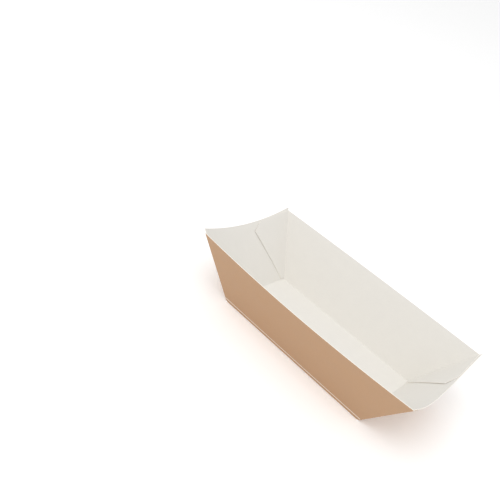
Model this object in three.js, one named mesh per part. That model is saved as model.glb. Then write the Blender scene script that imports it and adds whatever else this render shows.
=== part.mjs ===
// A long, open food tray, folded and glued from one die-cut sheet of board.
// Millimetres, +Z up, +X along the tray. The origin is the middle of the base's underside.
//
// The blank is a base with four walls. Each long wall carries a flap at both ends. The back wall's
// flaps are glued inside the end walls and the front wall's flaps outside them, so every end is a
// sandwich of three layers that holds the tray open. Nothing is cut or joined afterwards: the folded
// middle surface of the blank is one mesh of cells, and the board's thickness is added to all of it.

import * as THREE from 'three';

// Driving sizes of the folded tray.
const BASE_LENGTH = 150; // between the creases of the two end walls
const BASE_WIDTH = 78; // between the creases of the two long walls
const RIM_LENGTH = 216; // between the end walls at the height of the rim's corners
const RIM_WIDTH = 109; // between the long walls, there
const HEIGHT = 55; // of the rim's corners

// The board, its folds and its glue.
const BOARD = 0.45; // thickness
const FOLD_REACH = 0.9; // a fold is round from this far before its crease to this far after it
const GLUE = 0.12; // between a flap and the end wall it is glued to
const EDGE_GAP = 0.35; // between the end wall's cut edge and the front wall's fold

// The long walls give a little at mid length.
const SIDE_BOW = 3.4; // outward, at the rim
const SIDE_SAG = 0.3; // the rim's cut dips this much at mid length

// The end walls belly outward, more towards the front, and their top edge is cut in a shallow curve.
const END_BULGE = 6.1; // at the rim, square to the wall
const END_BULGE_SKEW = 0.755; // 1 puts the belly in the middle, less puts it nearer the front
const END_DIP = 3.2; // the top edge's lowest point, below the rim's corners
const END_DIP_PLACE = 4; // that point's distance from the tray's middle line, to the back
const END_EAR = 4.4; // the top edge's front corner, above the rim's corner
const END_OVERHANG = 0.3; // the end wall's back edge past the back wall's middle

// A glued flap's outline on the end wall. Heights are distances up the wall's slope.
const FLAP_FOOT_HEIGHT = 2; // the lower end of the flap's fold
const FLAP_FOOT_WIDTH = 4.5;
const FLAP_SHOULDER_FROM_MIDDLE = 9.6; // distance from the tray's middle line
const FLAP_TIP_FROM_MIDDLE = 19; // where the flap's top edge ends
const FLAP_CUT_HEIGHT = 8.3; // from the shoulder up to the tip
const FLAP_REVEAL = 0.7; // the end wall stands this much above the tip

// Facets.
const CELLS_ALONG = 20;
const CELLS_ACROSS = 16;
const CELLS_FOLD = 3;
const CELLS_FOOT = 1;
const CELLS_FLAP_HEIGHT = 5;
const CELLS_SHOULDER = 2;
const CELLS_FLAP_WIDTH = 6;
const CELLS_END_HEIGHT = 6;

const BOARD_COLOUR = 0xc39a78;
const BOARD_ROUGHNESS = 0.85;

// Sizes that follow. All of them belong to the board's middle surface.
const FLOOR = BOARD / 2;
const RISE = HEIGHT - FLOOR;
const SIDE_SPREAD = (RIM_WIDTH - BASE_WIDTH) / 2;
const END_SPREAD = (RIM_LENGTH - BASE_LENGTH) / 2;
const SIDE_SLOPE = Math.hypot(SIDE_SPREAD, RISE);
const END_SLOPE = Math.hypot(END_SPREAD, RISE);
const LAYER = BOARD + GLUE;
const LAYER_ALONG = (LAYER * END_SLOPE) / RISE; // one layer's step, measured along the tray
const FRONT = -1;
const BACK = 1;

const mix = (a, b, t) => a + (b - a) * t;
const steps = (from, to, count) => Array.from({ length: count }, (_, i) => mix(from, to, (i + 1) / count));
const halfLength = (up) => BASE_LENGTH / 2 + up * END_SPREAD;
const halfWidth = (up) => BASE_WIDTH / 2 + up * SIDE_SPREAD;

// A point of a long wall. `up` is 0 at the crease and 1 at the rim. The wall keeps its height along
// the slope, so the rim sinks a little where it bows out.
function sidePoint(side, x, up) {
  const swell = Math.max(0, 1 - (x / halfLength(up)) ** 2);
  const run = SIDE_SPREAD + SIDE_BOW * swell;
  const rise = Math.sqrt(SIDE_SLOPE ** 2 - run ** 2);
  const trimmed = up * (1 - (SIDE_SAG / SIDE_SLOPE) * swell);
  return new THREE.Vector3(x, side * (BASE_WIDTH / 2 + trimmed * run), FLOOR + trimmed * rise);
}

// A point of an end wall, or of a layer `out` of it. The belly grows from nothing at the crease, and
// across the wall it is a half wave, squeezed towards the front.
function endPoint(end, y, up, out = 0) {
  const across = THREE.MathUtils.clamp((y / halfWidth(up) + 1) / 2, 0, 1);
  const belly = END_BULGE * up * Math.sin(Math.PI * across ** END_BULGE_SKEW);
  const lift = belly + out;
  const x = BASE_LENGTH / 2 + up * END_SPREAD + (lift * RISE) / END_SLOPE;
  return new THREE.Vector3(end * x, y, FLOOR + up * RISE - (lift * END_SPREAD) / END_SLOPE);
}

// The end wall's top edge, as a height above the rim's corners: a parabola through its lowest point
// and the front ear.
function endTop(y) {
  const steepness = (END_DIP + END_EAR) / (RIM_WIDTH / 2 + END_DIP_PLACE) ** 2;
  return steepness * (y - END_DIP_PLACE) ** 2 - END_DIP;
}

// A fold: a quadratic curve from the point before the crease to the point after it.
function foldPoint(before, crease, after, t) {
  const a = before.clone().lerp(crease, t);
  const b = crease.clone().lerp(after, t);
  return a.lerp(b, t);
}

// The middle surface: cells of four corners each. Cells that meet share their corners, so the panels
// and folds that are put in side by side become one sheet.
class Sheet {
  points = [];
  cells = [];
  places = new Map();

  corner(point) {
    const key = point.toArray().map((value) => Math.round(value * 1e4)).join(' ');
    if (!this.places.has(key)) {
      this.places.set(key, this.points.length);
      this.points.push(point);
    }
    return this.places.get(key);
  }

  // `at(column, row)` gives a point for each place of the two lists. `facing` is 1 where going from
  // columns to rows turns towards the inside of the tray, and -1 where it turns away.
  panel(columns, rows, facing, at) {
    const grid = rows.map((row) => columns.map((column) => this.corner(at(column, row))));
    for (let j = 0; j + 1 < rows.length; j++) {
      for (let i = 0; i + 1 < columns.length; i++) {
        const cell = [grid[j][i], grid[j][i + 1], grid[j + 1][i + 1], grid[j + 1][i]];
        this.cells.push(facing > 0 ? cell : cell.reverse());
      }
    }
  }

  normals() {
    const sums = this.points.map(() => new THREE.Vector3());
    for (const cell of this.cells) {
      const [a, b, c, d] = cell.map((index) => this.points[index]);
      const square = c.clone().sub(a).cross(d.clone().sub(b));
      for (const index of cell) sums[index].add(square);
    }
    return sums.map((sum) => sum.normalize());
  }

  // The edges that have a cell on one side only, in the direction that their cell runs them.
  rims() {
    const edges = new Map();
    for (const cell of this.cells) {
      cell.forEach((from, i) => {
        const to = cell[(i + 1) % 4];
        if (!edges.delete(`${to} ${from}`)) edges.set(`${from} ${to}`, [from, to]);
      });
    }
    return [...edges.values()];
  }

  // Both faces of the board, half its thickness to either side, and its cut edge all round.
  solid(thickness) {
    const normals = this.normals();
    const count = this.points.length;
    const position = [];
    for (const side of [0.5, -0.5]) {
      this.points.forEach((point, i) => {
        position.push(...point.clone().addScaledVector(normals[i], side * thickness));
      });
    }
    const index = [];
    const quad = (a, b, c, d) => index.push(a, b, c, a, c, d);
    for (const [a, b, c, d] of this.cells) {
      quad(a, b, c, d);
      quad(d + count, c + count, b + count, a + count);
    }
    for (const [from, to] of this.rims()) quad(to, from, from + count, to + count);
    const geometry = new THREE.BufferGeometry();
    geometry.setAttribute('position', new THREE.Float32BufferAttribute(position, 3));
    geometry.setIndex(index);
    geometry.computeVertexNormals();
    return geometry;
  }
}

const sideFoldTop = FOLD_REACH / SIDE_SLOPE;
const endFoldTop = FOLD_REACH / END_SLOPE;
const flapFoot = FLAP_FOOT_HEIGHT / END_SLOPE;
const flapTip = 1 + (endTop(FLAP_TIP_FROM_MIDDLE) - FLAP_REVEAL) / END_SLOPE;
const flapShoulder = flapTip - FLAP_CUT_HEIGHT / END_SLOPE;
const alongPlaces = [-1, ...steps(-1, 1, CELLS_ALONG)];
const acrossPlaces = [-1, ...steps(-1, 1, CELLS_ACROSS)];
const foldPlaces = [0, ...steps(0, 1, CELLS_FOLD)];
const flapRows = [
  flapFoot,
  ...steps(flapFoot, flapShoulder, CELLS_FLAP_HEIGHT),
  ...steps(flapShoulder, 1, CELLS_SHOULDER),
];
const sideRows = [sideFoldTop, ...steps(sideFoldTop, flapFoot, CELLS_FOOT), ...flapRows.slice(1)];

// The front wall reaches one layer past the end wall, whose outside its flaps wrap, and the back wall
// stops one layer short of it.
const creaseAlong = (side, up) => halfLength(up) - side * LAYER_ALONG;

function addBase(sheet) {
  const halfX = BASE_LENGTH / 2 - FOLD_REACH;
  const halfY = BASE_WIDTH / 2 - FOLD_REACH;
  sheet.panel(alongPlaces, acrossPlaces, 1, (i, j) => new THREE.Vector3(i * halfX, j * halfY, FLOOR));
}

// A long wall and the fold that joins it to the base.
function addSideWall(sheet, side) {
  const atBase = BASE_LENGTH / 2 - FOLD_REACH;
  const wallPoint = (i, up) => {
    const settle = THREE.MathUtils.clamp((up - sideFoldTop) / (flapFoot - sideFoldTop), 0, 1);
    const reach = mix(atBase, creaseAlong(side, up) - FOLD_REACH, settle);
    return sidePoint(side, i * reach, up);
  };
  sheet.panel(alongPlaces, foldPlaces, side, (i, t) => {
    const before = new THREE.Vector3(i * atBase, side * (BASE_WIDTH / 2 - FOLD_REACH), FLOOR);
    const crease = new THREE.Vector3(i * atBase, (side * BASE_WIDTH) / 2, FLOOR);
    return foldPoint(before, crease, wallPoint(i, sideFoldTop), t);
  });
  sheet.panel(alongPlaces, sideRows, side, wallPoint);
}

// An end wall and the fold that joins it to the base.
function addEndWall(sheet, end) {
  const atBase = BASE_WIDTH / 2 - FOLD_REACH;
  const frontEdge = (up) => -(halfWidth(up) - FOLD_REACH - EDGE_GAP * Math.min(1, up / flapFoot));
  const backEdge = (up) => halfWidth(up) + mix(-FOLD_REACH, END_OVERHANG, Math.min(1, up / flapFoot));
  const acrossAt = (j, up) => mix(frontEdge(up), backEdge(up), (j + 1) / 2);
  sheet.panel(foldPlaces, acrossPlaces, end, (t, j) => {
    const before = new THREE.Vector3(end * (BASE_LENGTH / 2 - FOLD_REACH), j * atBase, FLOOR);
    const crease = new THREE.Vector3((end * BASE_LENGTH) / 2, j * atBase, FLOOR);
    return foldPoint(before, crease, endPoint(end, acrossAt(j, endFoldTop), endFoldTop), t);
  });
  const rows = [0, ...steps(0, 1, CELLS_END_HEIGHT)];
  sheet.panel(rows, acrossPlaces, end, (r, j) => {
    const top = 1 + endTop(acrossAt(j, 1)) / END_SLOPE;
    const up = mix(endFoldTop, top, r);
    return endPoint(end, acrossAt(j, up), up);
  });
}

// A flap and the fold that joins it to its long wall. Each row of the flap runs from the fold to its
// free edge, which climbs from the foot to the shoulder and then cuts back to the tip.
function addFlap(sheet, side, end) {
  const out = -side * LAYER;
  const foldEnd = (up) => halfWidth(up) - FOLD_REACH;
  const freeEdge = (up) => {
    const climb = (up - flapFoot) / (flapShoulder - flapFoot);
    const cut = (up - flapShoulder) / (1 - flapShoulder);
    const footAt = halfWidth(flapFoot) - FLAP_FOOT_WIDTH;
    if (cut <= 0) return [mix(footAt, FLAP_SHOULDER_FROM_MIDDLE, climb), up];
    return [mix(FLAP_SHOULDER_FROM_MIDDLE, FLAP_TIP_FROM_MIDDLE, cut), mix(flapShoulder, flapTip, cut)];
  };
  const flapPoint = (k, up) => {
    const [freeY, freeUp] = freeEdge(up);
    return endPoint(end, side * mix(foldEnd(up), freeY, k), mix(up, freeUp, k), out);
  };
  const facing = side * end;
  sheet.panel(foldPlaces, flapRows, facing, (t, up) => {
    const before = sidePoint(side, end * (creaseAlong(side, up) - FOLD_REACH), up);
    const crease = sidePoint(side, end * creaseAlong(side, up), up);
    return foldPoint(before, crease, flapPoint(0, up), t);
  });
  sheet.panel([0, ...steps(0, 1, CELLS_FLAP_WIDTH)], flapRows, facing, flapPoint);
}

function foldedBlank() {
  const sheet = new Sheet();
  addBase(sheet);
  for (const side of [FRONT, BACK]) {
    addSideWall(sheet, side);
    for (const end of [-1, 1]) addFlap(sheet, side, end);
  }
  for (const end of [-1, 1]) addEndWall(sheet, end);
  return sheet;
}

const board = new THREE.MeshStandardMaterial({
  color: BOARD_COLOUR,
  roughness: BOARD_ROUGHNESS,
  metalness: 0,
});
const tray = new THREE.Mesh(foldedBlank().solid(BOARD), board);
tray.name = 'folded_tray';

const foodTray = new THREE.Group();
foodTray.add(tray);

export default foodTray;
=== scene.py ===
"""A long takeaway food tray, folded and glued from one die-cut sheet of board.

The board is one surface: a base, four walls and four glued flaps, worked out as grids of points with
numpy, joined along their creases and given the board's thickness. Everything is in metres, +X along
the tray, +Y from the front wall to the back wall and +Z up, with the origin under the base's middle.
"""

import math
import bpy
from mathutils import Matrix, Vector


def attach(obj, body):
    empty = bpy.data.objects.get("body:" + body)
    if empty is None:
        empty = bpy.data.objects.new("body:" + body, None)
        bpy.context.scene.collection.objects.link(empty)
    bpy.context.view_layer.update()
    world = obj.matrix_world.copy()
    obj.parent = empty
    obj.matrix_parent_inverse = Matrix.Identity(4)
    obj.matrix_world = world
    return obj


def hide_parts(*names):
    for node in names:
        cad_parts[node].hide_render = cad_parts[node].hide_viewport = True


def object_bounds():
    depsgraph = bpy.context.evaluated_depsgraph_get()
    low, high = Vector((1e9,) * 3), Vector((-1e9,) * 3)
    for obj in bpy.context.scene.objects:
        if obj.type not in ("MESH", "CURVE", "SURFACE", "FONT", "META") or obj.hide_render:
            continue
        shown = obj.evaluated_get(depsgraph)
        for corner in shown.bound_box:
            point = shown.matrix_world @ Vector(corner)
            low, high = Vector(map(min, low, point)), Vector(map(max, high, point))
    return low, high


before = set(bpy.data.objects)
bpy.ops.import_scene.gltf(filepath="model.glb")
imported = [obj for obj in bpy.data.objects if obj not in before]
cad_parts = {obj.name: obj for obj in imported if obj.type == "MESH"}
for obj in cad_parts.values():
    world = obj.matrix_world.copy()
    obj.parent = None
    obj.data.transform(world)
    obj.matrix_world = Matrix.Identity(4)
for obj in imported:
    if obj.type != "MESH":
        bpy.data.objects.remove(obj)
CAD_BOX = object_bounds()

from types import SimpleNamespace

import bpy
import numpy as np
from bpy.props import FloatProperty, FloatVectorProperty, IntProperty, PointerProperty, StringProperty
from mathutils import Euler, Vector

bl_info = {
    "name": "Folded Food Tray",
    "version": (1, 0, 0),
    "blender": (4, 5, 0),
    "location": "View3D > Sidebar > Food Tray",
    "description": "Folds a long takeaway food tray from one sheet of printed board",
    "category": "Add Mesh",
}

MM = 0.001
FRONT, BACK = -1, 1
LEFT, RIGHT = -1, 1
CAD_NODE = "folded_tray"
BODY = "root"
OUTSIDE, INSIDE, CUT_EDGE = 0, 1, 2  # the board's material slots
FACTOR, COLOUR_A, COLOUR_B, COLOUR_OUT = 0, 6, 7, 2  # a colour mix's sockets

SAME_PLACE = 1e-7  # metres: points of two panels that are this close are one point
LEAST_LENGTH = 1e-12  # keeps a vector of no length from being divided by nothing
CREASE_POWER = 4  # the higher, the narrower the hump of a crease
LIFT_POWER = 4  # the higher, the nearer to its free edge a flap starts to stand off
EDGE_CROWN = 0.1  # a cut edge's middle stands out by this share of the board
EDGE_STRIP = 0.3  # and its middle strip reaches this share to each side
SHARP_ANGLE = math.radians(35)  # faces that meet at more than this are shaded apart

NOISE_SPAN = (0.3, 0.7)  # a noise texture's values lie nearly all between these
GRAIN_STRETCH = (0.45, 1.0, 1.0)  # fibres are drawn longer along the tray
GRAIN_ROUGHNESS = 0.65  # share of finer noise in the fibres
TOOTH_HEIGHT = 0.05 * MM  # relief of the fibres
RULE_SOFTNESS = 0.12 * MM  # half the width over which the printed line's edge fades
VARNISH_ROUGHNESS = (0.56, 0.66)  # where the clouds are lowest and highest
WEAR_FROM, WEAR_TO = -0.6, 0.9  # fibre values between which the wear on a crease grows
WEAR_DEPTH = 0.16  # share of the rule's colour in the most worn spots
FLOOR_ROUGHNESS = 0.9
SENSOR_WIDTH = 36.0  # millimetres
NEAREST_SEEN = 10 * MM  # the camera draws nothing nearer than this


def length(name, description, millimetres):
    """A size in metres, with its default given in millimetres."""
    return FloatProperty(
        name=name, description=description, default=millimetres * MM, subtype="DISTANCE", precision=5
    )


class TraySizes(bpy.types.PropertyGroup):
    """Sizes of the folded tray, all of the board's middle surface unless they say otherwise."""

    base_length: length("Base Length", "Between the creases of the two end walls", 150)
    base_width: length("Base Width", "Between the creases of the two long walls", 78)
    rim_length: length("Rim Length", "Between the end walls at the rim's corners", 216)
    rim_width: length("Rim Width", "Between the long walls at the rim's corners", 109)
    height: length("Height", "Of the rim's corners above the table", 55)
    board: length("Board", "Thickness of the board", 0.45)
    fold_reach: length("Fold Reach", "A fold is round this far to each side of its crease", 0.4)
    crease_bead: length("Crease Bead", "How far a crease is pushed out on its inner side", 0.08)
    glue: length("Glue", "Between a flap and the end wall it is glued to", 0.07)
    edge_gap: length("Edge Gap", "Between the end wall's cut edge and the front wall's fold", 0.35)
    side_bow: length("Side Bow", "How far a long wall's rim bows out at mid length", 3.4)
    side_sag: length("Side Sag", "How far a long wall's cut rim dips at mid length", 0.3)
    end_bulge: length("End Bulge", "How far an end wall's rim bellies out, square to the wall", 6.1)
    end_dip: length("End Dip", "The end wall's top edge at its lowest, below the rim's corners", 3.2)
    end_dip_place: length("End Dip Place", "That lowest point, from the middle towards the back", 4)
    end_ear: length("End Ear", "The end wall's front corner, above the rim's corner", 4.4)
    end_overhang: length("End Overhang", "The end wall's back edge past the back wall's middle", 0.3)
    bulge_skew: FloatProperty(
        name="Bulge Skew",
        description="1 puts the belly in the middle of an end wall, less puts it nearer the front",
        default=0.755,
        subtype="FACTOR",
    )


class FlapSizes(bpy.types.PropertyGroup):
    """Outline of a glued flap on the end wall."""

    foot_height: length("Foot Height", "Lower end of the flap's fold, up the wall's slope", 1.0)
    foot_width: length("Foot Width", "Width of the flap there", 4.5)
    shoulder_place: length("Shoulder Place", "The free edge's corner, from the tray's middle line", 9.6)
    tip_place: length("Tip Place", "Where the top edge ends, from the tray's middle line", 19)
    cut_height: length("Cut Height", "From the shoulder up to the tip, along the slope", 8.3)
    reveal: length("Reveal", "How far the end wall stands above the tip", 0.7)
    lift: length("Lift", "How far the free edge stands off where the glue ends", 0.25)


class BoardFinish(bpy.types.PropertyGroup):
    """Colours and print of the board."""

    print_colour: StringProperty(name="Print", description="Outside, sRGB hex", default="#B69271")
    rule_colour: StringProperty(name="Rule", description="Thin line, sRGB hex", default="#F2E7DA")
    inside_colour: StringProperty(name="Inside", description="Inside, sRGB hex", default="#E9E6E0")
    core_colour: StringProperty(name="Core", description="Cut edges, sRGB hex", default="#FAF6EE")
    rule_height: length("Rule Height", "The printed line above the base's crease", 3.3)
    rule_width: length("Rule Width", "Width of the printed line", 0.8)
    mottle: length("Mottle", "Size of the soft cloudiness of the coating", 9)
    fibre: length("Fibre", "Spacing of the board's fibres as drawn", 0.9)


class MeshDetail(bpy.types.PropertyGroup):
    """Numbers of cells in each area of the board."""

    along: IntProperty(name="Along", description="Cells along the base and long walls", default=120)
    across: IntProperty(name="Across", description="Cells across the base and end walls", default=72)
    fold: IntProperty(name="Fold", description="Cells round each fold", default=8)
    foot: IntProperty(name="Foot", description="Cells below the flap's foot", default=3)
    flap_height: IntProperty(name="Flap Height", description="Cells from foot to shoulder", default=28)
    cut: IntProperty(name="Cut", description="Cells from the shoulder to the rim", default=6)
    flap_width: IntProperty(name="Flap Width", description="Cells across each flap", default=24)
    end_height: IntProperty(name="End Height", description="Cells up each end wall", default=34)


class StudioSettings(bpy.types.PropertyGroup):
    """Floor, light and camera."""

    floor_reach: length("Floor Reach", "Half the floor's width", 6000)
    floor_glow: FloatProperty(name="Floor Glow", description="Light from under the floor", default=0.12)
    sky: FloatProperty(name="Sky", description="Strength of the even light from all round", default=0.8)
    softbox_power: FloatProperty(
        name="Softbox Power", description="Power of the light above the front", default=14.0, unit="POWER"
    )
    softbox_size: length("Softbox Size", "Width of that square light", 1600)
    softbox_place: FloatVectorProperty(
        name="Softbox Place",
        description="Centre of that light",
        default=(0.0, -0.9, 1.8),
        subtype="TRANSLATION",
    )
    lens: FloatProperty(
        name="Lens", description="Focal length on a 36 mm sensor", default=45.57, unit="CAMERA"
    )
    camera_place: FloatVectorProperty(
        name="Camera Place",
        description="Where the camera stands",
        default=(0.17266, -0.40599, 0.33522),
        subtype="TRANSLATION",
    )
    camera_turn: FloatVectorProperty(
        name="Camera Turn",
        description="How it is turned, with the roll that leans the tray in the picture",
        default=(math.radians(56.279), math.radians(-17.075), math.radians(44.672)),
        subtype="EULER",
    )


def follow(tray, flap):
    """The sizes that follow from the driving ones.

    A slope is the length of a wall up its lean. Heights called `up` are shares of that slope. A layer
    is the step from the middle of an end wall to the middle of a flap glued to it. The shoulder and
    tip are those of the back flaps, and the front flaps share them.
    """
    floor = tray.board / 2
    rise = tray.height - floor
    side_spread = (tray.rim_width - tray.base_width) / 2
    end_spread = (tray.rim_length - tray.base_length) / 2
    end_slope = math.hypot(end_spread, rise)
    layer = tray.board + tray.glue
    at = SimpleNamespace(
        floor=floor,
        rise=rise,
        side_spread=side_spread,
        end_spread=end_spread,
        side_slope=math.hypot(side_spread, rise),
        end_slope=end_slope,
        layer=layer,
        layer_along=layer * end_slope / rise,
        half_length=lambda up: tray.base_length / 2 + up * end_spread,
        half_width=lambda up: tray.base_width / 2 + up * side_spread,
    )
    at.side_fold_top = tray.fold_reach / at.side_slope
    at.end_fold_top = tray.fold_reach / end_slope
    at.foot = flap.foot_height / end_slope
    at.tip = 1 + (end_top(tray, flap.tip_place) - flap.reveal) / end_slope
    at.shoulder = at.tip - flap.cut_height / end_slope
    at.crease_along = lambda side, up: at.half_length(up) - side * at.layer_along
    return at


def side_point(tray, at, side, x, up):
    """Points of a long wall at distances x along it and heights up its slope.

    The bow is a parabola along the wall, full at mid length and nothing at the ends. The wall keeps
    its length up the slope, so what it gains outward it loses in height, by Pythagoras. The cut rim
    dips by the same parabola.
    """
    swell = np.maximum(0, 1 - (x / at.half_length(up)) ** 2)
    run = at.side_spread + tray.side_bow * swell
    rise = np.sqrt(at.side_slope**2 - run**2)
    trimmed = up * (1 - tray.side_sag / at.side_slope * swell)
    y = side * (tray.base_width / 2 + trimmed * run)
    return np.stack(np.broadcast_arrays(x, y, at.floor + trimmed * rise), -1)


def end_point(tray, at, end, y, up, out=0.0):
    """Points of an end wall, or of a layer `out` of it, at distances y across and heights up.

    The belly grows evenly from the crease to the rim. Across the wall it is half a sine wave of the
    share of the width, raised to a power under 1, which moves its crest towards the front.
    """
    share = np.clip((y / at.half_width(up) + 1) / 2, 0, 1)
    lift = tray.end_bulge * up * np.sin(np.pi * share**tray.bulge_skew) + out
    x = tray.base_length / 2 + up * at.end_spread + lift * at.rise / at.end_slope
    z = at.floor + up * at.rise - lift * at.end_spread / at.end_slope
    return np.stack(np.broadcast_arrays(end * x, y, z), -1)


def end_top(tray, y):
    """Height of the end wall's top edge over the rim's corners: a parabola through its lowest point
    and the front ear."""
    steepness = (tray.end_dip + tray.end_ear) / (tray.rim_width / 2 + tray.end_dip_place) ** 2
    return steepness * (y - tray.end_dip_place) ** 2 - tray.end_dip


def fold_points(before, crease, after, t):
    """A fold's points: the quadratic curve from the point before the crease to the one after it."""
    return (1 - t) ** 2 * before + 2 * t * (1 - t) * crease + t**2 * after


def panel(points, blank, facing, crease=0.0):
    """One area of the board: its grid of points, the same points' places on the flat blank, which way
    its cells face, and how much each point is on a crease."""
    return SimpleNamespace(
        points=points,
        blank=np.stack(np.broadcast_arrays(*blank), -1),
        facing=facing,
        crease=np.broadcast_to(crease, points.shape[:2]),
    )


def crease_share(t):
    """How much a point of a fold is on its crease: half a sine wave to the fourth power, which is 1 at
    the crease and 0 at the fold's ends."""
    return np.sin(np.pi * t) ** CREASE_POWER


def places(cells):
    """Evenly spaced places from -1 to 1."""
    return np.linspace(-1, 1, cells + 1)


def base_panel(tray, at, detail):
    """The flat base, up to where its folds start: an even grid at the height of the board's middle."""
    x = places(detail.along) * (tray.base_length / 2 - tray.fold_reach)
    y = places(detail.across) * (tray.base_width / 2 - tray.fold_reach)
    x, y = np.meshgrid(x, y)
    return panel(np.stack([x, y, np.full_like(x, at.floor)], -1), (x, y), 1)


def flap_rows(at, detail):
    """Heights of the flap's rows: even steps from foot to shoulder and from shoulder to rim."""
    lower = np.linspace(at.foot, at.shoulder, detail.flap_height + 1)
    return np.concatenate([lower, np.linspace(at.shoulder, 1, detail.cut + 1)[1:]])


def side_wall_panels(tray, at, detail, side):
    """A long wall and the fold that joins it to the base.

    Each row of the wall spans from one corner fold to the other, and narrows to the base's fold
    below the flaps' feet.
    """
    share = places(detail.along)[None, :]
    at_base = tray.base_length / 2 - tray.fold_reach
    lower = np.linspace(at.side_fold_top, at.foot, detail.foot + 1)
    up = np.concatenate([lower, flap_rows(at, detail)[1:]])[:, None]
    settle = np.clip((up - at.side_fold_top) / (at.foot - at.side_fold_top), 0, 1)
    reach = at_base + (at.crease_along(side, up) - tray.fold_reach - at_base) * settle
    x = share * reach
    wall = side_point(tray, at, side, x, up)
    out = side * (tray.base_width / 2 + up * at.side_slope)
    t = np.linspace(0, 1, detail.fold + 1)[:, None, None]
    row = np.zeros_like(share)
    edge = side * (tray.base_width / 2 - tray.fold_reach)
    before = np.stack([share * at_base, row + edge, row + at.floor], -1)
    crease = np.stack([share * at_base, row + side * tray.base_width / 2, row + at.floor], -1)
    fold = fold_points(before, crease, wall[:1], t)
    flat = side * (tray.base_width / 2 + (2 * t[..., 0] - 1) * tray.fold_reach)
    return [
        panel(fold, (fold[..., 0], flat), side, crease_share(t[..., 0])),
        panel(wall, (x, out), side),
    ]


def end_wall_panels(tray, at, detail, end):
    """An end wall and the fold that joins it to the base.

    The wall's front edge stops short of the front corner's fold, and its back edge passes behind the
    back wall. The rows run from the fold to the curved top edge.
    """
    share = places(detail.across)[None, :]
    at_base = tray.base_width / 2 - tray.fold_reach

    def across(up):
        grown = np.minimum(1, up / at.foot)
        front = -(at.half_width(up) - tray.fold_reach - tray.edge_gap * grown)
        back = at.half_width(up) - tray.fold_reach + (tray.fold_reach + tray.end_overhang) * grown
        return front + (back - front) * (share + 1) / 2

    top = 1 + end_top(tray, across(1.0)) / at.end_slope
    climb = np.linspace(0, 1, detail.end_height + 1)[:, None]
    up = at.end_fold_top + (top - at.end_fold_top) * climb
    y = across(up)
    wall = end_point(tray, at, end, y, up)
    t = np.linspace(0, 1, detail.fold + 1)[:, None, None]
    row = np.zeros_like(share)
    edge = end * (tray.base_length / 2 - tray.fold_reach)
    before = np.stack([row + edge, share * at_base, row + at.floor], -1)
    crease = np.stack([row + end * tray.base_length / 2, share * at_base, row + at.floor], -1)
    fold = fold_points(before, crease, wall[:1], t)
    flat = end * (tray.base_length / 2 + (2 * t[..., 0] - 1) * tray.fold_reach)
    out = end * (tray.base_length / 2 + up * at.end_slope)
    return [
        panel(fold, (flat, fold[..., 1]), -end, crease_share(t[..., 0])),
        panel(wall, (out, y), -end),
    ]


def flap_panels(tray, flap, at, detail, side, end):
    """A glued flap and the fold that joins it to its long wall.

    Rows run from the fold to the free edge, which climbs straight from the foot to the shoulder and
    is cut straight back to the tip. The free edge stands off the end wall: most at the shoulder, by a
    quarter sine wave down to nothing at the foot and a squared cosine to nothing at the tip, and as
    the fourth power of the distance from the fold.
    """
    up = flap_rows(at, detail)[:, None]
    k = np.linspace(0, 1, detail.flap_width + 1)[None, :]
    climb = np.clip((up - at.foot) / (at.shoulder - at.foot), 0, 1)
    cut = np.clip((up - at.shoulder) / (1 - at.shoulder), 0, 1)
    foot_place = at.half_width(at.foot) - flap.foot_width
    free_y = foot_place + (flap.shoulder_place - foot_place) * climb
    free_y = free_y + (flap.tip_place - flap.shoulder_place) * cut
    free_up = at.foot + (at.shoulder - at.foot) * climb + (at.tip - at.shoulder) * cut
    fold_y = at.half_width(up) - tray.fold_reach
    y = fold_y + (free_y - fold_y) * k
    height = up + (free_up - up) * k
    stand = flap.lift * k**LIFT_POWER * np.sin(np.pi / 2 * climb) * np.cos(np.pi / 2 * cut) ** 2
    points = end_point(tray, at, end, side * y, height, -side * (at.layer + stand))
    before_x = at.crease_along(side, up) - tray.fold_reach
    before = side_point(tray, at, side, end * before_x, up)
    crease = side_point(tray, at, side, end * at.crease_along(side, up), up)
    t = np.linspace(0, 1, detail.fold + 1)[None, :, None]
    fold = fold_points(before, crease, points[:, :1], t)
    out = side * (tray.base_width / 2 + up * at.side_slope)
    folded = end * (before_x + 2 * tray.fold_reach * t[..., 0])
    flat = end * (before_x + 2 * tray.fold_reach + fold_y - y)
    return [
        panel(fold, (folded, out), side * end, crease_share(t[..., 0])),
        panel(points, (flat, out + side * (height - up) * at.side_slope), side * end),
    ]


def join_panels(panels):
    """Joins the panels along the points that they share, which are found by their rounded places."""
    points = np.concatenate([p.points.reshape(-1, 3) for p in panels])
    blank = np.concatenate([p.blank.reshape(-1, 2) for p in panels])
    crease = np.concatenate([p.crease.reshape(-1) for p in panels])
    cells = []
    start = 0
    for p in panels:
        rows, columns = p.points.shape[:2]
        index = start + np.arange(rows * columns).reshape(rows, columns)
        corners = [index[:-1, :-1], index[:-1, 1:], index[1:, 1:], index[1:, :-1]]
        quads = np.stack(corners, -1).reshape(-1, 4)
        cells.append(quads if p.facing > 0 else quads[:, ::-1])
        start += rows * columns
    keys = np.round(points / SAME_PLACE).astype(np.int64)
    _, first, same = np.unique(keys, axis=0, return_index=True, return_inverse=True)
    same = same.reshape(-1)
    cells = same[np.concatenate(cells)]
    return SimpleNamespace(points=points[first], blank=blank[first], crease=crease[first], cells=cells)


def unit(vectors):
    """Vectors scaled to length 1."""
    return vectors / np.maximum(np.linalg.norm(vectors, axis=-1, keepdims=True), LEAST_LENGTH)


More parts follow.
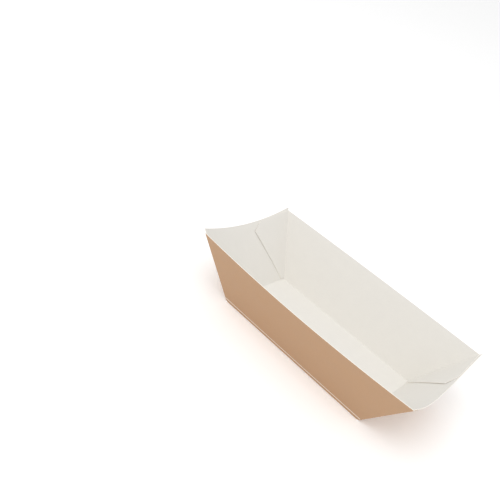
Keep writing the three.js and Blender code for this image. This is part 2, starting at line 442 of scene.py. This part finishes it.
def thicken(sheet, board, bead):
    """Gives the sheet its thickness, and returns points, blank places, crease shares, faces and slots.

    Normals are the sums of the cells' crossed diagonals. The inside face lies half a board along
    them, plus the bead of a crease, and the outside face half a board the other way. Round every free
    edge a band of three strips closes the board, its middle one pushed out a little, so that a cut
    edge is slightly round.
    """
    p = sheet.points
    cells = sheet.cells
    square = np.cross(p[cells[:, 2]] - p[cells[:, 0]], p[cells[:, 3]] - p[cells[:, 1]])
    normal = np.zeros_like(p)
    for corner in range(4):
        np.add.at(normal, cells[:, corner], square)
    normal = unit(normal)
    inside = p + normal * (board / 2 + bead * sheet.crease)[:, None]
    outside = p - normal * board / 2

    edges = np.concatenate([cells[:, [i, (i + 1) % 4]] for i in range(4)])
    count = len(p)
    forward = edges[:, 0] * count + edges[:, 1]
    backward = edges[:, 1] * count + edges[:, 0]
    free = edges[~np.isin(forward, backward)]
    away = np.zeros_like(p)
    run = np.cross(p[free[:, 1]] - p[free[:, 0]], normal[free[:, 0]])
    for corner in range(2):
        np.add.at(away, free[:, corner], unit(run))
    rim = np.unique(free)
    push = unit(away[rim]) * board * EDGE_CROWN
    band_in = p[rim] + normal[rim] * board * EDGE_STRIP + push
    band_out = p[rim] - normal[rim] * board * EDGE_STRIP + push
    place = np.zeros(count, dtype=np.int64)
    place[rim] = np.arange(len(rim))
    a, b = free.T
    first = 2 * count + place
    second = first + len(rim)
    strips = [
        np.stack([b, a, first[a], first[b]], -1),
        np.stack([first[b], first[a], second[a], second[b]], -1),
        np.stack([second[b], second[a], a + count, b + count], -1),
    ]
    faces = np.concatenate([cells, cells[:, ::-1] + count] + strips)
    slots = np.repeat([INSIDE, OUTSIDE, CUT_EDGE], [len(cells), len(cells), 3 * len(free)])
    points = np.concatenate([inside, outside, band_in, band_out])
    order = np.concatenate([np.arange(count), np.arange(count), rim, rim])
    return points, sheet.blank[order], sheet.crease[order], faces, slots


def new_object(name, points, faces, slots=None, materials=()):
    """Puts a surface of four-cornered faces into a new smooth-shaded object at the origin."""
    mesh = bpy.data.meshes.new(name)
    mesh.vertices.add(len(points))
    mesh.vertices.foreach_set("co", points.astype(np.float32).ravel())
    mesh.loops.add(faces.size)
    mesh.loops.foreach_set("vertex_index", faces.astype(np.int32).ravel())
    mesh.polygons.add(len(faces))
    mesh.polygons.foreach_set("loop_start", np.arange(0, faces.size, 4, dtype=np.int32))
    for material in materials:
        mesh.materials.append(material)
    if slots is not None:
        mesh.polygons.foreach_set("material_index", slots.astype(np.int32))
    mesh.update(calc_edges=True)
    mesh.validate()
    mesh.shade_smooth()
    made = bpy.data.objects.new(name, mesh)
    bpy.context.scene.collection.objects.link(made)
    return made


def linear(colour):
    """An sRGB hex colour as linear red, green, blue and alpha."""
    values = [int(colour[i:i + 2], 16) / 255 for i in (1, 3, 5)]
    return [v / 12.92 if v <= 0.04045 else ((v + 0.055) / 1.055) ** 2.4 for v in values] + [1.0]


def node(tree, kind, inputs=None, **settings):
    """Adds a node with its settings. An input is given a value, or a socket to be linked to."""
    made = tree.nodes.new(kind)
    for name, value in settings.items():
        setattr(made, name, value)
    for key, value in (inputs or {}).items():
        if isinstance(value, bpy.types.NodeSocket):
            tree.links.new(value, made.inputs[key])
        else:
            made.inputs[key].default_value = value
    return made


def new_material(name):
    """A new material with an empty node tree."""
    material = bpy.data.materials.new(name)
    material.use_nodes = True
    material.node_tree.nodes.clear()
    return material, material.node_tree


def surface_grain(tree, finish):
    """Cloudiness and fibres, both from -1 to 1, as sockets on the board's own coordinates.

    Real fibres are a few hundredths of a millimetre thick and wouldn't show in the picture, so they
    are drawn much coarser than they are.
    """
    where = node(tree, "ShaderNodeTexCoord").outputs["Object"]
    cloud = node(tree, "ShaderNodeTexNoise", {
        "Vector": where, "Scale": 1 / finish.mottle, "Detail": 2.0,
    })
    stretch = node(tree, "ShaderNodeMapping", {"Vector": where, "Scale": GRAIN_STRETCH})
    fibre = node(tree, "ShaderNodeTexNoise", {
        "Vector": stretch.outputs[0], "Scale": 1 / finish.fibre, "Detail": 4.0,
        "Roughness": GRAIN_ROUGHNESS,
    })
    low, high = NOISE_SPAN
    spread = [
        node(tree, "ShaderNodeMapRange", {
            "Value": noise.outputs["Fac"], "From Min": low, "From Max": high,
            "To Min": -1.0, "To Max": 1.0,
        })
        for noise in (cloud, fibre)
    ]
    return [made.outputs[0] for made in spread]


def tinted(tree, colour, cloud, fibre, cloud_depth, fibre_depth):
    """The colour made a little lighter and darker by the clouds and fibres, as a colour socket."""
    clouds = node(
        tree, "ShaderNodeMath", {0: cloud, 1: cloud_depth, 2: 1.0}, operation="MULTIPLY_ADD"
    )
    value = node(
        tree, "ShaderNodeMath", {0: fibre, 1: fibre_depth, 2: clouds.outputs[0]},
        operation="MULTIPLY_ADD",
    )
    tint = node(
        tree, "ShaderNodeVectorMath", {0: colour[:3], "Scale": value.outputs[0]}, operation="SCALE"
    )
    return tint.outputs[0]


def printed_board(finish, tray, at):
    """Clay-coated board, offset-printed kraft brown under a matt varnish.

    To the eye it is an even warm brown with barely seen clouds, a faint tooth, a thin unprinted rule
    above the base's crease, and print worn a little lighter on the folds.
    """
    material, tree = new_material("kraft-brown offset print on clay-coated board, matt varnish")
    cloud, fibre = surface_grain(tree, finish)
    brown = tinted(
        tree, linear(finish.print_colour), cloud, fibre, cloud_depth=0.012, fibre_depth=0.02
    )

    # The rule follows the flat blank: so far from its middle line, and no longer than the wall.
    flat = node(tree, "ShaderNodeUVMap", uv_map="blank")
    split = node(tree, "ShaderNodeSeparateXYZ", {0: flat.outputs[0]})
    along, across = [
        node(tree, "ShaderNodeMath", {0: split.outputs[i]}, operation="ABSOLUTE").outputs[0]
        for i in (0, 1)
    ]
    rule_at = tray.base_width / 2 + finish.rule_height
    off = node(tree, "ShaderNodeMath", {0: across, 1: rule_at}, operation="SUBTRACT")
    off = node(tree, "ShaderNodeMath", {0: off.outputs[0]}, operation="ABSOLUTE")
    band = node(tree, "ShaderNodeMapRange", {
        "Value": off.outputs[0],
        "From Min": finish.rule_width / 2 + RULE_SOFTNESS,
        "From Max": finish.rule_width / 2 - RULE_SOFTNESS,
    })
    ends = at.half_length(finish.rule_height / at.side_slope)
    on_wall = node(tree, "ShaderNodeMath", {0: along, 1: ends}, operation="LESS_THAN")
    rule = node(
        tree, "ShaderNodeMath", {0: band.outputs[0], 1: on_wall.outputs[0]}, operation="MULTIPLY"
    )
    ruled = node(tree, "ShaderNodeMix", {
        FACTOR: rule.outputs[0], COLOUR_A: brown, COLOUR_B: linear(finish.rule_colour),
    }, data_type="RGBA")

    # The print wears off a crease first, fibre by fibre.
    creased = node(tree, "ShaderNodeAttribute", attribute_name="crease")
    patchy = node(tree, "ShaderNodeMapRange", {
        "Value": fibre, "From Min": WEAR_FROM, "From Max": WEAR_TO,
        "To Min": 0.0, "To Max": WEAR_DEPTH,
    })
    worn = node(
        tree, "ShaderNodeMath", {0: creased.outputs["Fac"], 1: patchy.outputs[0]},
        operation="MULTIPLY",
    )
    colour = node(tree, "ShaderNodeMix", {
        FACTOR: worn.outputs[0], COLOUR_A: ruled.outputs[COLOUR_OUT],
        COLOUR_B: linear(finish.rule_colour),
    }, data_type="RGBA")

    smoothest, roughest = VARNISH_ROUGHNESS
    rough = node(tree, "ShaderNodeMapRange", {
        "Value": cloud, "From Min": -1.0, "To Min": smoothest, "To Max": roughest,
    })
    tooth = node(tree, "ShaderNodeBump", {
        "Height": fibre, "Strength": 0.12, "Distance": TOOTH_HEIGHT,
    })
    shader = node(tree, "ShaderNodeBsdfPrincipled", {
        "Base Color": colour.outputs[COLOUR_OUT], "Roughness": rough.outputs[0], "IOR": 1.45,
        "Normal": tooth.outputs[0],
    })
    node(tree, "ShaderNodeOutputMaterial", {"Surface": shader.outputs[0]})
    return material


def plain_board(finish, name, colour, cloud_depth, fibre_depth, roughness):
    """Board with no print: off-white and matt, with clouds and fibres that only just show."""
    material, tree = new_material(name)
    cloud, fibre = surface_grain(tree, finish)
    tint = tinted(tree, linear(colour), cloud, fibre, cloud_depth, fibre_depth)
    tooth = node(tree, "ShaderNodeBump", {
        "Height": fibre, "Strength": 0.15, "Distance": TOOTH_HEIGHT,
    })
    shader = node(tree, "ShaderNodeBsdfPrincipled", {
        "Base Color": tint, "Roughness": roughness, "IOR": 1.45, "Normal": tooth.outputs[0],
    })
    node(tree, "ShaderNodeOutputMaterial", {"Surface": shader.outputs[0]})
    return material


class TRAY_OT_fold_board(bpy.types.Operator):
    """Folds the tray from one sheet of board and gives it its print, inside and cut edges"""

    bl_idname = "tray.fold_board"
    bl_label = "Fold Board"

    def execute(self, context):
        scene = context.scene
        tray = scene.tray_sizes
        flap = scene.tray_flap
        finish = scene.tray_finish
        detail = scene.tray_detail
        at = follow(tray, flap)
        panels = [base_panel(tray, at, detail)]
        for side in (FRONT, BACK):
            panels += side_wall_panels(tray, at, detail, side)
            for end in (LEFT, RIGHT):
                panels += flap_panels(tray, flap, at, detail, side, end)
        for end in (LEFT, RIGHT):
            panels += end_wall_panels(tray, at, detail, end)
        sheet = join_panels(panels)
        points, blank, crease, faces, slots = thicken(sheet, tray.board, tray.crease_bead)
        # The clay coat hides the fibres, so the inside looks an even, matt off-white.
        inside = plain_board(
            finish, "white clay-coated board, unprinted", finish.inside_colour,
            cloud_depth=0.006, fibre_depth=0.008, roughness=0.62,
        )
        # The die lays the white core bare, so a thin pale line without gloss runs round each cut edge.
        cut_edge = plain_board(
            finish, "die-cut edge of solid bleached board", finish.core_colour,
            cloud_depth=0.01, fibre_depth=0.03, roughness=0.9,
        )
        materials = [printed_board(finish, tray, at), inside, cut_edge]
        board = new_object("folded_board", points, faces, slots, materials)
        mesh = board.data
        corners = np.empty(len(mesh.loops), dtype=np.int32)
        mesh.loops.foreach_get("vertex_index", corners)
        flat = mesh.uv_layers.new(name="blank")
        flat.uv.foreach_set("vector", blank[corners].astype(np.float32).ravel())
        creased = mesh.attributes.new("crease", "FLOAT", "POINT")
        creased.data.foreach_set("value", crease.astype(np.float32))
        mesh.set_sharp_from_angle(angle=SHARP_ANGLE)
        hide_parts(CAD_NODE)
        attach(board, BODY)
        return {"FINISHED"}


class TRAY_OT_set_stage(bpy.types.Operator):
    """Lays the pale floor, hangs the soft light and places the camera"""

    bl_idname = "tray.set_stage"
    bl_label = "Set Stage"

    def execute(self, context):
        scene = context.scene
        studio = scene.tray_studio
        reach = studio.floor_reach
        x, y = np.meshgrid([-reach, reach], [-reach, reach])
        corners = np.stack([x, y, np.full_like(x, CAD_BOX[0].z)], -1).reshape(-1, 3)
        # A light table, plain white and without gloss: its glow takes most of the shadow away.
        material, tree = new_material("matt white acrylic sheet, lit faintly from below")
        sheet = node(tree, "ShaderNodeBsdfPrincipled", {
            "Base Color": linear("#FFFFFF"), "Roughness": FLOOR_ROUGHNESS,
            "Emission Color": linear("#FFFFFF"), "Emission Strength": studio.floor_glow,
        })
        node(tree, "ShaderNodeOutputMaterial", {"Surface": sheet.outputs[0]})
        floor = new_object("floor", corners, np.array([[0, 1, 3, 2]]), materials=[material])

        scene.world = bpy.data.worlds.new("white studio")
        scene.world.use_nodes = True
        tree = scene.world.node_tree
        tree.nodes.clear()
        sky = node(tree, "ShaderNodeBackground", {"Color": linear("#FFFFFF"), "Strength": studio.sky})
        node(tree, "ShaderNodeOutputWorld", {"Surface": sky.outputs[0]})

        lamp = bpy.data.lights.new("softbox", "AREA")
        lamp.shape = "SQUARE"
        lamp.size = studio.softbox_size
        lamp.energy = studio.softbox_power
        softbox = bpy.data.objects.new("softbox", lamp)
        softbox.location = studio.softbox_place
        middle = sum(CAD_BOX, Vector()) / 2
        softbox.rotation_euler = (middle - softbox.location).to_track_quat("-Z", "Y").to_euler()
        scene.collection.objects.link(softbox)

        lens = bpy.data.cameras.new("camera")
        lens.sensor_fit = "HORIZONTAL"
        lens.sensor_width = SENSOR_WIDTH
        lens.lens = studio.lens
        lens.clip_start = NEAREST_SEEN
        camera = bpy.data.objects.new("camera", lens)
        camera.location = studio.camera_place
        camera.rotation_euler = Euler(studio.camera_turn)
        scene.collection.objects.link(camera)
        scene.camera = camera
        scene.view_settings.view_transform = "Standard"
        return {"FINISHED"}


class TRAY_PT_panel(bpy.types.Panel):
    """Lists the tray's sizes, finish and stage, with a button for each step"""

    bl_idname = "TRAY_PT_panel"
    bl_label = "Food Tray"
    bl_space_type = "VIEW_3D"
    bl_region_type = "UI"
    bl_category = "Food Tray"

    def draw(self, context):
        for group, operator in PANEL_ROWS:
            settings = getattr(context.scene, group)
            box = self.layout.box()
            for name in settings.bl_rna.properties.keys():
                if name not in ("rna_type", "name"):
                    box.prop(settings, name)
            if operator:
                self.layout.operator(operator)


GROUPS = {
    "tray_sizes": TraySizes,
    "tray_flap": FlapSizes,
    "tray_finish": BoardFinish,
    "tray_detail": MeshDetail,
    "tray_studio": StudioSettings,
}
PANEL_ROWS = (
    ("tray_sizes", None),
    ("tray_flap", None),
    ("tray_finish", None),
    ("tray_detail", "tray.fold_board"),
    ("tray_studio", "tray.set_stage"),
)
CLASSES = (*GROUPS.values(), TRAY_OT_fold_board, TRAY_OT_set_stage, TRAY_PT_panel)


def register():
    for kind in CLASSES:
        bpy.utils.register_class(kind)
    for name, kind in GROUPS.items():
        setattr(bpy.types.Scene, name, PointerProperty(type=kind))


def unregister():
    for name in GROUPS:
        delattr(bpy.types.Scene, name)
    for kind in reversed(CLASSES):
        bpy.utils.unregister_class(kind)


def main():
    register()
    bpy.ops.tray.set_stage()
    bpy.ops.tray.fold_board()


if __name__ == "__main__":
    main()
